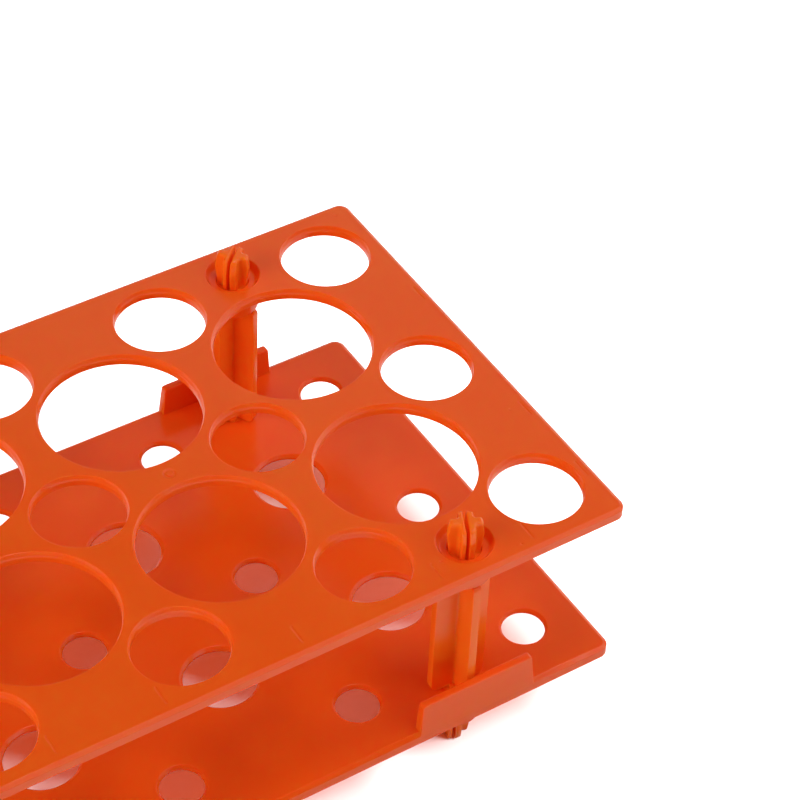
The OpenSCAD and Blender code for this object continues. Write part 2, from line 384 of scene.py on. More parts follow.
def bore_profile(name, r, plate, top_z):
    """A tube bore: a rounded rim, a tapered lead-in, a fine ledge and a straight wall."""
    base = top_z - plate.thickness
    return moulded_profile(name, [
        (r + 0.42 * MM, top_z, 0),
        (r + 0.28 * MM, top_z, plate.rim_r),
        (r + 0.11 * MM, top_z - 0.66 * MM, 0.05 * MM),
        (r + 0.02 * MM, top_z - 0.74 * MM, 0.05 * MM),
        (r, top_z - 1.22 * MM, 0.03 * MM),
        (r - 0.04 * MM, top_z - 1.27 * MM, 0.03 * MM),
        (r - 0.02 * MM, base, 0.1 * MM),
        (r + 0.15 * MM, base, 0),
    ])


def tip_profile(name, r, dish, plate, top_z):
    """A tip hole: a soft dish down to a thin lip, then a wide flare to the underside."""
    base = top_z - plate.thickness
    return moulded_profile(name, [
        (r + dish + 0.3 * MM, top_z, 0),
        (r + dish, top_z, 0.22 * MM),
        (r, top_z - 0.6 * MM, 0.12 * MM),
        (r, top_z - 1.0 * MM, 0.08 * MM),
        (r + 1.5 * MM, base, 0.1 * MM),
        (r + 1.75 * MM, base, 0),
    ])


def boss_corners(seats, plate, top_z):
    """The outside of a boss, from the mouth of its hole up to the plate's underside."""
    base = top_z - plate.thickness
    end = top_z - seats.boss_l
    return [
        (seats.grip_r, end, 0.1 * MM),
        (seats.boss_r, end, 0.3 * MM),
        (seats.boss_r, base, 0.4 * MM),
        (seats.boss_r + 0.5 * MM, base, 0),
    ]


def top_seat_profile(seats, plate, top_z):
    """A seat of the top plate, with the recess round the barb."""
    floor = top_z - seats.recess_depth
    return moulded_profile("top_seat_profile", [
        (seats.recess_r + 0.4 * MM, top_z, 0),
        (seats.recess_r + 0.05 * MM, top_z, 0.25 * MM),
        (seats.recess_floor_r, floor, 0.45 * MM),
        (seats.grip_r, floor, 0.3 * MM),
    ] + boss_corners(seats, plate, top_z))


def lower_seat_profile(seats, plate, top_z):
    """A seat of the lower plate: a plain hole through the plate and its boss."""
    return moulded_profile("lower_seat_profile", [
        (seats.grip_r + 0.3 * MM, top_z, 0),
        (seats.grip_r, top_z, 0.12 * MM),
    ] + boss_corners(seats, plate, top_z))


def gate_profile(top_z):
    """A gate mark: a shallow pit with the broken stub of the gate in it."""
    return moulded_profile("gate_profile", [
        (1.45 * MM, top_z, 0),
        (1.3 * MM, top_z, 0.08 * MM),
        (1.05 * MM, top_z - 0.2 * MM, 0.08 * MM),
        (0.72 * MM, top_z - 0.2 * MM, 0.05 * MM),
        (0.6 * MM, top_z - 0.02 * MM, 0.1 * MM),
        (0.28 * MM, top_z - 0.06 * MM, 0.05 * MM),
        (0, top_z - 0.12 * MM, 0),
    ])


def pin_profile(top_z):
    """A tiny round pin mark in a plate's face."""
    return moulded_profile("pin_profile", [
        (0.42 * MM, top_z, 0),
        (0.34 * MM, top_z, 0.05 * MM),
        (0.24 * MM, top_z - 0.09 * MM, 0.06 * MM),
        (0, top_z - 0.1 * MM, 0),
    ])


def stroke_profile(top_z):
    """The section of a shallow stroke in a plate's face."""
    return moulded_profile("stroke_profile", [
        (0.38 * MM, top_z, 0),
        (0.28 * MM, top_z, 0.06 * MM),
        (0.16 * MM, top_z - 0.08 * MM, 0.06 * MM),
        (0, top_z - 0.08 * MM, 0),
    ])


def ejector_profile(base_z):
    """A round ejector mark in a plate's underside, from its middle out."""
    return moulded_profile("ejector_profile", [
        (0, base_z + 0.25 * MM, 0),
        (5.55 * MM, base_z + 0.25 * MM, 0.06 * MM),
        (5.6 * MM, base_z, 0.08 * MM),
        (5.8 * MM, base_z, 0),
    ])


# ---------------------------------------------------------------- node trees

class TreeMaker:
    """Adds nodes to a tree in a few words."""

    def __init__(self, tree):
        self.tree = tree

    def socket(self, name, kind, default=None, out=False):
        """An input of the whole tree, or an output."""
        item = self.tree.interface.new_socket(
            name=name, in_out="OUTPUT" if out else "INPUT", socket_type=kind)
        if default is not None:
            item.default_value = default

    def feed(self, node, inputs):
        """Gives a node's inputs plain values or other nodes' sockets."""
        for key, value in inputs.items():
            if isinstance(value, bpy.types.NodeSocket):
                self.tree.links.new(value, node.inputs[key])
            else:
                node.inputs[key].default_value = value
        return node

    def add(self, kind, inputs=None, **settings):
        """A new node with these settings and inputs."""
        node = self.tree.nodes.new(kind)
        for key, value in settings.items():
            setattr(node, key, value)
        return self.feed(node, inputs or {})

    def math(self, operation, *values):
        """A sum on real numbers."""
        return self.add("ShaderNodeMath", dict(enumerate(values)), operation=operation).outputs[0]

    def whole(self, operation, *values):
        """A sum on whole numbers."""
        return self.add("FunctionNodeIntegerMath", dict(enumerate(values)),
                        operation=operation).outputs[0]

    def vector(self, x, y, z):
        """A vector of these three."""
        return self.add("ShaderNodeCombineXYZ", {0: x, 1: y, 2: z}).outputs[0]

    def apart(self, vector):
        """The X, Y and Z of a vector."""
        return self.add("ShaderNodeSeparateXYZ", {0: vector}).outputs

    def ramp(self, value, low, high, to_low, to_high):
        """A value carried from one range to another."""
        return self.add("ShaderNodeMapRange", {
            "Value": value, "From Min": low, "From Max": high,
            "To Min": to_low, "To Max": to_high}).outputs["Result"]

    def mix(self, factor, a, b, blend="MIX"):
        """A mix of two colours."""
        return self.add("ShaderNodeMix", {"Factor": factor, "A": a, "B": b},
                        data_type="RGBA", blend_type=blend).outputs["Result"]

    def seen_by(self, kind):
        """One for a ray of this kind, nought for every other."""
        return self.add("ShaderNodeLightPath").outputs[kind]

    def join(self, sockets):
        """All these geometries as one."""
        node = self.tree.nodes.new("GeometryNodeJoinGeometry")
        for socket in sockets:
            self.tree.links.new(socket, node.inputs[0])
        return node.outputs[0]


def ring_tree():
    """A wall swept round a rounded rectangle, or round a circle where both half sides are nought.

    The profile's points give the wall's rings: X is the distance from the corner
    centres and Z the height. The first and the last ring are marked as rims.
    """
    make = TreeMaker(bpy.data.node_groups.new("moulded_ring", "GeometryNodeTree"))
    make.socket("Geometry", "NodeSocketGeometry", out=True)
    make.socket("Profile", "NodeSocketObject")
    make.socket("Half X", "NodeSocketFloat", 0.0)
    make.socket("Half Y", "NodeSocketFloat", 0.0)
    make.socket("Quarter steps", "NodeSocketInt", 16)
    given = make.add("NodeGroupInput").outputs
    profile = make.add("GeometryNodeObjectInfo",
                       {"Object": given["Profile"]}).outputs["Geometry"]
    rings = make.add("GeometryNodeAttributeDomainSize", {"Geometry": profile},
                     component="MESH").outputs["Point Count"]
    stops = make.whole("ADD", given["Quarter steps"], 1)
    around = make.whole("ADD", make.whole("MULTIPLY", stops, 4), 1)
    grid = make.add("GeometryNodeMeshGrid",
                    {"Vertices X": around, "Vertices Y": rings}).outputs["Mesh"]

    index = make.add("GeometryNodeInputIndex").outputs[0]
    stop = make.whole("DIVIDE_FLOOR", index, rings)
    ring = make.whole("MODULO", index, rings)
    quarter = make.whole("DIVIDE_FLOOR", stop, stops)
    step = make.whole("MODULO", stop, stops)
    share = make.math("DIVIDE", step, given["Quarter steps"])
    angle = make.math("MULTIPLY", make.math("ADD", quarter, share), math.pi / 2)
    diagonal = make.math("MULTIPLY_ADD", quarter, math.pi / 2, math.pi / 4)
    side_x = make.math("SIGN", make.math("COSINE", diagonal))
    side_y = make.math("SIGN", make.math("SINE", diagonal))

    position = make.add("GeometryNodeInputPosition").outputs[0]
    sample = make.add("GeometryNodeSampleIndex",
                      {"Geometry": profile, "Value": position, "Index": ring},
                      data_type="FLOAT_VECTOR")
    split = make.apart(sample.outputs["Value"])
    x = make.math("MULTIPLY_ADD", side_x, given["Half X"],
                  make.math("MULTIPLY", split["X"], make.math("COSINE", angle)))
    y = make.math("MULTIPLY_ADD", side_y, given["Half Y"],
                  make.math("MULTIPLY", split["X"], make.math("SINE", angle)))
    placed = make.add("GeometryNodeSetPosition",
                      {"Geometry": grid, "Position": make.vector(x, y, split["Z"])}).outputs[0]
    first = make.add("FunctionNodeCompare", {2: ring, 3: 0}, data_type="INT", operation="EQUAL")
    last = make.add("FunctionNodeCompare", {2: ring, 3: make.whole("SUBTRACT", rings, 1)},
                    data_type="INT", operation="EQUAL")
    wide = make.add("FunctionNodeCompare", {0: split["X"], 1: WELD},
                    data_type="FLOAT", operation="GREATER_THAN")
    for name, rim in (("upper_rim", first), ("lower_rim", last)):
        open_rim = make.add("FunctionNodeBooleanMath",
                            {0: rim.outputs[0], 1: wide.outputs[0]}, operation="AND")
        placed = make.add("GeometryNodeStoreNamedAttribute",
                          {"Geometry": placed, "Name": name, "Value": open_rim.outputs[0]},
                          data_type="BOOLEAN", domain="POINT").outputs[0]
    welded = make.add("GeometryNodeMergeByDistance",
                      {"Geometry": placed, "Distance": WELD / 4}).outputs[0]
    smooth = make.add("GeometryNodeSetShadeSmooth",
                      {"Geometry": welded, "Shade Smooth": True}).outputs[0]
    make.add("NodeGroupOutput", {"Geometry": smooth})
    return make.tree


def plate_tree(name, holes):
    """A perforated plate: rings for its edge and its holes, and flat faces between their rims.

    holes is a list of (title, layout), where a layout is a named one or a list of places; each
    gets inputs for its profile, its steps and its half length across the rack, which is nought
    for a round one.
    """
    ring = ring_tree()
    make = TreeMaker(bpy.data.node_groups.new(name, "GeometryNodeTree"))
    make.socket("Geometry", "NodeSocketGeometry", out=True)
    for title, kind, default in (
            ("Half X", "NodeSocketFloat", 0.1), ("Half Y", "NodeSocketFloat", 0.05),
            ("Top height", "NodeSocketFloat", 0.0), ("Base height", "NodeSocketFloat", 0.0),
            ("Pitch", "NodeSocketFloat", 0.037), ("Columns", "NodeSocketInt", 6),
            ("Rows", "NodeSocketInt", 3), ("Seat X", "NodeSocketFloat", 0.07),
            ("Seat Y", "NodeSocketFloat", 0.04), ("Material", "NodeSocketMaterial", None),
            ("Edge", "NodeSocketObject", None)):
        make.socket(title, kind, default)
    for title, _ in holes:
        make.socket(title, "NodeSocketObject")
        make.socket(title + " steps", "NodeSocketInt", 16)
        make.socket(title + " half length", "NodeSocketFloat", 0.0)
    given = make.add("NodeGroupInput").outputs

    def spread(columns, rows, step_x, step_y):
        """Points of a centred grid with these numbers and distances."""
        size_x = make.math("MULTIPLY", make.whole("SUBTRACT", columns, 1), step_x)
        size_y = make.math("MULTIPLY", make.whole("SUBTRACT", rows, 1), step_y)
        return make.add("GeometryNodeMeshGrid", {
            "Size X": size_x, "Size Y": size_y,
            "Vertices X": columns, "Vertices Y": rows}).outputs["Mesh"]

    def four_at(x, y):
        """Four points, this far from the middle."""
        return spread(2, 2, make.math("MULTIPLY", x, 2.0), make.math("MULTIPLY", y, 2.0))

    def listed(places):
        """Points at a list of places."""
        return make.join([
            make.add("GeometryNodePoints", {"Count": 1, "Position": (x, y, 0)}).outputs[0]
            for x, y in places])

    pitch = given["Pitch"]
    fewer_columns = make.whole("SUBTRACT", given["Columns"], 1)
    fewer_rows = make.whole("SUBTRACT", given["Rows"], 1)
    layouts = {
        "narrow": lambda: spread(given["Columns"], given["Rows"], pitch, pitch),
        "wide": lambda: spread(fewer_columns, fewer_rows, pitch, pitch),
        "seats": lambda: four_at(given["Seat X"], given["Seat Y"]),
        "between rows": lambda: make.join([
            spread(given["Columns"], fewer_rows, pitch, pitch), four_at(pitch, pitch)]),
    }

    edge = make.add("GeometryNodeGroup", {
        "Profile": given["Edge"], "Half X": given["Half X"], "Half Y": given["Half Y"],
        "Quarter steps": CORNER_STEPS}, node_tree=ring)
    walls = [make.add("GeometryNodeFlipFaces", {"Mesh": edge.outputs[0]}).outputs[0]]
    for title, layout in holes:
        wall = make.add("GeometryNodeGroup", {
            "Profile": given[title], "Quarter steps": given[title + " steps"],
            "Half Y": given[title + " half length"]}, node_tree=ring)
        points = layouts[layout]() if isinstance(layout, str) else listed(layout)
        copies = make.add("GeometryNodeInstanceOnPoints",
                          {"Points": points, "Instance": wall.outputs[0]})
        walls.append(make.add("GeometryNodeRealizeInstances",
                              {"Geometry": copies.outputs[0]}).outputs[0])
    standing = make.join(walls)

    sheets = []
    for rim, height, under in (("upper_rim", "Top height", False),
                               ("lower_rim", "Base height", True)):
        marked = make.add("GeometryNodeInputNamedAttribute", {"Name": rim}, data_type="BOOLEAN")
        line = make.add("GeometryNodeMeshToCurve",
                        {"Mesh": standing, "Selection": marked.outputs["Attribute"]}).outputs[0]
        sheet = make.add("GeometryNodeFillCurve", {"Curve": line}, mode="TRIANGLES").outputs[0]
        flat = make.apart(make.add("GeometryNodeInputPosition").outputs[0])
        sheet = make.add("GeometryNodeSetPosition", {
            "Geometry": sheet,
            "Position": make.vector(flat["X"], flat["Y"], given[height])}).outputs[0]
        if under:
            sheet = make.add("GeometryNodeFlipFaces", {"Mesh": sheet}).outputs[0]
        sheets.append(make.add("GeometryNodeSetShadeSmooth",
                               {"Geometry": sheet, "Shade Smooth": False}).outputs[0])
    whole = make.join([standing] + sheets)
    whole = make.add("GeometryNodeMergeByDistance",
                     {"Geometry": whole, "Distance": WELD}).outputs[0]
    for rim in ("upper_rim", "lower_rim"):
        whole = make.add("GeometryNodeRemoveAttribute",
                         {"Geometry": whole, "Name": rim}).outputs[0]
    whole = make.add("GeometryNodeRealizeInstances", {"Geometry": whole}).outputs[0]
    whole = make.add("GeometryNodeSetMaterial",
                     {"Geometry": whole, "Material": given["Material"]}).outputs[0]
    make.add("NodeGroupOutput", {"Geometry": whole})
    return make.tree


# ---------------------------------------------------------------- meshes

def link(obj):
    """Puts an object in the scene."""
    bpy.context.scene.collection.objects.link(obj)
    return obj


def settle(obj):
    """Turns the evaluated result of an object's modifiers into its own plain mesh."""
    bpy.context.view_layer.update()
    done = obj.evaluated_get(bpy.context.evaluated_depsgraph_get())
    mesh = bpy.data.meshes.new_from_object(done)
    if not mesh.polygons:
        raise RuntimeError(f"{obj.name} has no faces")
    obj.modifiers.clear()
    obj.data = mesh
    mesh.name = obj.name
    return obj


def unite(obj, parts):
    """Joins closed shells into one solid skin, so that no wall is left inside it."""
    for part in parts:
        union = obj.modifiers.new("Union", "BOOLEAN")
        union.operation = "UNION"
        union.solver = "EXACT"
        union.object = part
    settle(obj)
    for part in parts:
        bpy.data.objects.remove(part)
    return obj


def grown_plate(name, holes, inputs, steps_per_mm):
    """An object whose mesh comes from a plate tree; holes has (title, layout, profile) rows."""
    tree = plate_tree(name + "_tree", [(title, layout) for title, layout, _ in holes])
    plate = link(bpy.data.objects.new(name, bpy.data.meshes.new(name)))
    values = dict(inputs)
    for title, _, profile in holes:
        reach = max(point.co.x for point in profile.data.vertices)
        steps = round(reach / MM * steps_per_mm)
        values[title] = profile
        values[title + " steps"] = max(LEAST_STEPS, min(MOST_STEPS, steps))
    modifier = plate.modifiers.new("Plate", "NODES")
    modifier.show_viewport = False
    modifier.node_group = tree
    for item in tree.interface.items_tree:
        if item.in_out == "INPUT" and item.name in values:
            modifier[item.identifier] = values[item.name]
    modifier.show_viewport = True
    settle(plate)
    for value in values.values():
        if isinstance(value, bpy.types.Object):
            bpy.data.objects.remove(value)
    return plate


def shell(name, rings, material):
    """A closed shell through rings of equally many points, capped at both ends."""
    bm = bmesh.new()
    loops = [[bm.verts.new(point) for point in ring] for ring in rings]
    for low, high in zip(loops, loops[1:]):
        for index in range(len(low)):
            after = (index + 1) % len(low)
            bm.faces.new((low[index], low[after], high[after], high[index])).smooth = True
    bm.faces.new(list(reversed(loops[0])))
    bm.faces.new(loops[-1])
    bmesh.ops.remove_doubles(bm, verts=bm.verts, dist=WELD / 4)
    bmesh.ops.recalc_face_normals(bm, faces=bm.faces)
    mesh = bpy.data.meshes.new(name)
    bm.to_mesh(mesh)
    bm.free()
    mesh.materials.append(material)
    return link(bpy.data.objects.new(name, mesh))


def cross_outline(reach, half_t, edge_r, fillet_r):
    """A cross of two equal ribs, with rounded ends and filleted inner corners."""
    points, radii = [], []
    for quarter in range(4):
        turn = Matrix.Rotation(quarter * math.pi / 2, 2)
        for x, y, r in ((half_t, -half_t, fillet_r), (reach, -half_t, edge_r),
                        (reach, half_t, edge_r)):
            points.append(turn @ Vector((x, y)))
            radii.append(r)
    return rounded(points, radii, steps=4)


def corner_reach(reach, radius, height):
    """How far a rib reaches at this height above its end, where its corner is rounded."""
    if height >= radius:
        return reach
    return reach - radius + math.sqrt(radius ** 2 - (radius - height) ** 2)


def shaft_rings(posts, low, high, centre, turn):
    """Rings of a shaft from its lower shoulder to its upper one."""
    soft = 0.12 * MM
    steps = 8

    def levels(corner_r):
        """Distances from an end: close together in its softened edge, then round its corners."""
        return [share * soft for share in (0, 0.15, 0.4, 0.7, 1)] + [
            soft + (corner_r - soft) * step / steps for step in range(1, steps + 1)]

    heights = [(low + level, level, posts.foot_corner_r)
               for level in levels(posts.foot_corner_r)]
    heights += [(high - level, level, posts.head_corner_r)
                for level in reversed(levels(posts.head_corner_r))]
    rings = []
    spin = Matrix.Rotation(turn, 2)
    for z, level, radius in heights:
        inset = 0
        if level < soft:
            inset = soft - math.sqrt(max(0, soft ** 2 - (soft - level) ** 2))
        outline = cross_outline(corner_reach(posts.shaft_r, radius, level),
                                posts.shaft_rib_t / 2 - inset, posts.edge_r, posts.fillet_r)
        rings.append([(*(centre + spin @ point), z) for point in outline])
    return rings


def envelope(stations, depth):
    """A plug's radius at this depth below its tip, from straight stretches between stations."""
    for (d0, r0), (d1, r1) in zip(stations, stations[1:]):
        if depth <= d1:
            return r0 + (r1 - r0) * (depth - d0) / (d1 - d0)
    return stations[-1][1]


def half_plug_outline(posts, plain_r, split_r, side, inset):
    """Section of one half of a plug, beside the slot; side is 1 for the thicker half, else -1."""
    slot = posts.slot_w / 2 + inset
    flank = (posts.split_far if side > 0 else posts.split_near) - inset
    half_t = posts.plain_rib_t / 2 - inset
    plain_r -= inset
    split_r -= inset
    middle = (slot + flank) / 2
    points, radii = [], []
    for mirror in (-1, 1):
        part = [
            (slot, -math.sqrt(split_r ** 2 - slot ** 2), 0.1 * MM),
            (middle, -math.sqrt(split_r ** 2 - middle ** 2), 0),
            (flank, -math.sqrt(split_r ** 2 - flank ** 2), 0.25 * MM),
            (flank, -half_t, posts.plug_fillet_r),
            (math.sqrt(plain_r ** 2 - half_t ** 2), -half_t, 0.25 * MM),
        ]
        if mirror > 0:
            points.append((plain_r, 0))
            radii.append(0)
            part = [(x, -y, r) for x, y, r in reversed(part)]
        points += [(x, y) for x, y, _ in part]
        radii += [r for _, _, r in part]
    outline = rounded(points, radii, steps=3)
    return [Vector((side * p.x, p.y)) for p in outline]


def plug_rings(posts, side, tip, seat_l, up, centre, turn):
    """Rings of one half of a plug, from its tip into the shaft."""
    neck_end = posts.head_l + seat_l
    widest = [(2.95 * MM, posts.barb_r), (posts.head_l, posts.neck_r)]
    plain = [(0, 2.95 * MM), (0.6 * MM, 3.12 * MM)] + widest
    split = [(0, 2.6 * MM), (0.6 * MM, 2.88 * MM), (1.6 * MM, 3.17 * MM)] + widest
    spin = Matrix.Rotation(turn, 2)
    dome = posts.tip_round_h
    depths = [dome * (1 - math.cos(math.radians(a))) for a in (0, 15, 30, 45, 60, 75, 90)]
    depths += [depth * MM for depth in (1.1, 1.6, 2.2, 2.7, 2.95, 3.2, 3.8, 5.2)]
    depths += [posts.head_l, neck_end, neck_end + PLUG_ROOT]
    rings = []
    for depth in depths:
        inset = posts.tip_round_w * (1 - math.sqrt(max(0, 1 - max(0, 1 - depth / dome) ** 2)))
        outline = half_plug_outline(
            posts, envelope(plain, depth), envelope(split, depth), side, inset)
        z = tip - depth if up else tip + depth
        rings.append([(*(centre + spin @ point), z) for point in outline])
    return rings


def web_rings(posts, side, centre, turn, low, high):
    """Rings of the half-round web that joins a plug's ribs inside its seat, beside the slot."""
    radius = posts.neck_r - WEB_WALL_GAP
    near = posts.slot_w / 2 + WEB_SLOT_GAP
    sweep = math.acos(near / radius)
    spin = Matrix.Rotation(turn, 2)
    arc = [sweep * (step / 12 - 1) for step in range(25)]
    outline = [centre + spin @ Vector((side * radius * math.cos(a), radius * math.sin(a)))
               for a in arc]
    return [[(*point, z) for point in outline] for z in (low, high)]


def block_rings(centre, turn, half_x, half_y, low, high):
    """Rings of the block that closes a plug's slot below its floor, inside the seat."""
    spin = Matrix.Rotation(turn, 2)
    corners = [centre + spin @ Vector(c) for c in
               ((-half_x, -half_y), (half_x, -half_y), (half_x, half_y), (-half_x, half_y))]
    return [[(*c, z) for c in corners] for z in (low, high)]


def rail_rings(rails, centre_x, wall_y, side, root_z):
    """Rings of a rail: an upright strip whose outer face leans in, with rounded upper corners."""
    top = root_z + rails.height
    root = root_z - RAIL_ROOT
    outline = rounded(
        [(-rails.root_half_l, root), (rails.root_half_l, root),
         (rails.top_half_l, top), (-rails.top_half_l, top)],
        [0, 0, rails.corner_r, rails.corner_r], steps=6)

    def outer(z):
        """How far the outer face has leant in at this height."""
        return rails.lean * max(0, z - root_z) / rails.height

    soft = [(rails.edge_r * (1 - math.sin(a)), rails.edge_r * (1 - math.cos(a)))
            for a in map(math.radians, (0, 22.5, 45, 67.5, 90))]
    rounded_from = rails.top_half_l - rails.corner_r - WELD
    rings = []
    for inset, depth, inner in [(*edge, False) for edge in soft] + [
            (*edge, True) for edge in reversed(soft)]:
        ring = []
        for x, z in outline:
            if z > root_z:
                if abs(x) > rounded_from:
                    x -= math.copysign(inset, x)
                z -= inset * max(0, (z - top + rails.corner_r) / rails.corner_r)
            across = rails.thickness - depth if inner else outer(z) + depth
            ring.append((centre_x + x, side * (wall_y - across), z))
        rings.append(ring)
    return rings


# ---------------------------------------------------------------- materials

def painted_disc_light(make, where, pitch):
    """Mask of the painted light discs: the nearness of the closest ejector mark, one over its
    middle, nought past its edge.
    """

    def away(x, y):
        """The distance that these two make."""
        return make.math("SQRT", make.math("ADD", make.math("POWER", x, 2.0),
                                           make.math("POWER", y, 2.0)))

    place = make.apart(where)
    across = make.math("ABSOLUTE", place["Y"])
    along = make.math("ABSOLUTE", place["X"])
    between = make.math("SUBTRACT", make.math("MODULO", along, pitch), pitch / 2)
    near = make.math(
        "MINIMUM",
        away(between, make.math("SUBTRACT", across, pitch / 2)),
        away(make.math("SUBTRACT", along, pitch), make.math("SUBTRACT", across, pitch)))
    return make.ramp(near, *LIGHT_DISC_FADE, 1.0, 0.0)


def plastic(name, light, deep, finish, glow=0.0, pitch=0.0):
    """Satin moulded plastic: faint clouds of deeper colour, a fine skin and some scatter, with a
    painted glow of the given strength.

    With a pitch, painted light discs lighten the colour over the ejector marks, for light that
    passes through the thinner plastic there. A lamp's light that passes through a face is tinted.
    """
    material = bpy.data.materials.new(name)
    material.use_nodes = True
    nodes = material.node_tree.nodes
    make = TreeMaker(material.node_tree)
    where = make.add("ShaderNodeTexCoord").outputs["Object"]

    def noise(scale, detail, rough):
        """A noise pattern over the piece."""
        return make.add("ShaderNodeTexNoise", {
            "Scale": scale, "Detail": detail, "Roughness": rough, "Vector": where}).outputs["Fac"]

    dye = make.mix(make.ramp(noise(*CLOUDS), *CLOUDS_RANGE, 0.0, 1.0), (*light, 1), (*deep, 1))
    # Painted light discs: the colour is lightened over the ejector marks, for light through the
    # thinner plastic; from here on dye carries them
    if pitch:
        disc_light_mask = painted_disc_light(make, where, pitch)
        disc_light_colour = make.add("ShaderNodeCombineColor", {
            channel: make.math("ADD", LIGHT_DISC_BASE, make.math("MULTIPLY", disc_light_mask, gain))
            for channel, gain in LIGHT_DISC_GAINS.items()})
        dye = make.mix(1.0, dye, disc_light_colour.outputs["Color"], "MULTIPLY")

    normal = {}
    for (strength, height), pattern in ((WAVES_BUMP, WAVES), (GRAIN_BUMP, GRAIN)):
        bump = make.add("ShaderNodeBump", {
            "Strength": strength, "Distance": height, "Height": noise(*pattern), **normal})
        normal = {"Normal": bump.outputs["Normal"]}
    # Emission at the given strength is a painted glow, standing in for light scattered into shaded
    # slots and hollows
    shader = make.feed(nodes["Principled BSDF"], {
        "Base Color": dye, "IOR": 1.49, "Specular IOR Level": finish.shine,
        "Subsurface Weight": 1.0, "Subsurface Radius": (1.0, 0.3, 0.3),
        "Subsurface Scale": finish.depth,
        "Roughness": make.ramp(noise(*WEAR), *WEAR_RANGE,
                               finish.roughness - WEAR_SPAN, finish.roughness + WEAR_SPAN),
        "Emission Color": (1.0, 0.05, 0.0, 1.0), "Emission Strength": glow, **normal})

    through = make.add("ShaderNodeBsdfTransparent", {"Color": (*finish.glow, 1)})
    both = make.add("ShaderNodeMixShader", {
        "Fac": make.seen_by("Is Shadow Ray"),
        1: shader.outputs["BSDF"], 2: through.outputs["BSDF"]})
    make.feed(nodes["Material Output"], {"Surface": both.outputs["Shader"]})
    return material


def plate_plastic(finish, pitch=0.0):
    """The plates' plastic, with the painted light discs over the ejector marks where there is a
    pitch.
    """
    name = "marked_plate_plastic_look" if pitch else "plate_plastic_look"
    known = bpy.data.materials.get(name)
    return known or plastic(name, finish.plate_colour, finish.plate_deep, finish, pitch=pitch)


def post_plastic(finish):
    """The posts' plastic: a lighter copy of the plates' as painted light, for the light and
    scatter that the thin posts catch, with a painted glow.
    """
    known = bpy.data.materials.get("post_plastic_look")
    return known or plastic(
        "post_plastic_look", finish.post_lit_colour, finish.post_lit_deep, finish, glow=finish.post_painted_glow)


# ---------------------------------------------------------------- stage

def soft_box(name, azimuth, elevation, reach, side, power):
    """A square area light at this distance from the aim, turned to it."""
    turn, lift = math.radians(azimuth), math.radians(elevation)
    away = Vector((math.cos(turn) * math.cos(lift), math.sin(turn) * math.cos(lift),
                   math.sin(lift)))
    lamp = bpy.data.lights.new(name, "AREA")
    lamp.shape = "SQUARE"
    lamp.size = side
    lamp.energy = power
    light = link(bpy.data.objects.new(name, lamp))
    light.location = AIM + away * reach
    light.rotation_euler = (-away).to_track_quat("-Z", "Y").to_euler()
    return light


def floor_sheet(studio):
    """A square of matt paper that throws less light on the rack than the camera sees on it."""
    half = studio.floor_size / 2
    mesh = bpy.data.meshes.new("floor")
    mesh.from_pydata([(-half, -half, 0), (half, -half, 0), (half, half, 0), (-half, half, 0)],
                     [], [(0, 1, 2, 3)])
    paper = bpy.data.materials.new("floor_paper")
    paper.use_nodes = True
    make = TreeMaker(paper.node_tree)
    thrown = [studio.floor_bounce * c for c in studio.floor_colour]
    shade = make.mix(make.seen_by("Is Camera Ray"), (*thrown, 1), (*studio.floor_colour, 1))
    make.feed(paper.node_tree.nodes["Principled BSDF"], {
        "Base Color": shade, "Roughness": 0.9, "Specular IOR Level": 0.1})
    mesh.materials.append(paper)
    return link(bpy.data.objects.new("floor", mesh))


def studio_world(studio):
    """Faint even light from all round, with a white backdrop that only the camera sees."""
    world = bpy.data.worlds.new("studio")
    world.use_nodes = True
    make = TreeMaker(world.node_tree)
    strength = make.ramp(make.seen_by("Is Camera Ray"), 0.0, 1.0, studio.sky, studio.backdrop)
    make.feed(world.node_tree.nodes["Background"], {"Color": (1, 1, 1, 1), "Strength": strength})
    return world


def receivers(name, pieces):
    """A collection that a light can be held to."""
    collection = bpy.data.collections.new(name)
    for piece in pieces:
        collection.objects.link(piece)
    return collection


# ---------------------------------------------------------------- operators

def plate_inputs(scene, top_z, material):
    """The inputs that both plate trees share."""
    grid, plate, seats = scene.rack_grid, scene.rack_plate, scene.rack_seats
    return {
        "Half X": TOP_HIGH.x - plate.corner_r, "Half Y": TOP_HIGH.y - plate.corner_r,
        "Top height": top_z, "Base height": top_z - plate.thickness,
        "Pitch": grid.pitch, "Columns": grid.columns, "Rows": grid.rows,
        "Seat X": seats.x, "Seat Y": seats.y,
        "Material": material, "Edge": edge_profile(plate, top_z),
    }


class RACK_OT_top_plate(bpy.types.Operator):
    """Build the perforated top plate with its bores, post seats and gate marks."""

    bl_idname = "rack.top_plate"
    bl_label = "Top plate"

    def execute(self, context):
        scene = context.scene
        grid, plate, seats = scene.rack_grid, scene.rack_plate, scene.rack_seats
        top_z = TOP_HIGH.z
        pins, strokes = (
            [(side * x * MM, y * MM) for side in (-1, 1) for x, y in places]
            for places in (PIN_PLACES, STROKE_PLACES))
        holes = [
            ("Narrow bores", "narrow",
             bore_profile("narrow_profile", grid.narrow_bore_r, plate, top_z)),
            ("Wide bores", "wide", bore_profile("wide_profile", grid.wide_bore_r, plate, top_z)),
            ("Seats", "seats", top_seat_profile(seats, plate, top_z)),
            ("Gates", [(-grid.pitch, 0), (grid.pitch, 0)], gate_profile(top_z)),
            ("Pins", pins, pin_profile(top_z)),
            ("Strokes", strokes, stroke_profile(top_z)),
        ]
        inputs = plate_inputs(scene, top_z, plate_plastic(scene.rack_finish))
        inputs["Strokes half length"] = plate.stroke_half_l
        piece = grown_plate("top_plate_skin", holes, inputs, plate.steps_per_mm)
        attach(piece, BODY)
        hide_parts("top_plate")
        return {"FINISHED"}


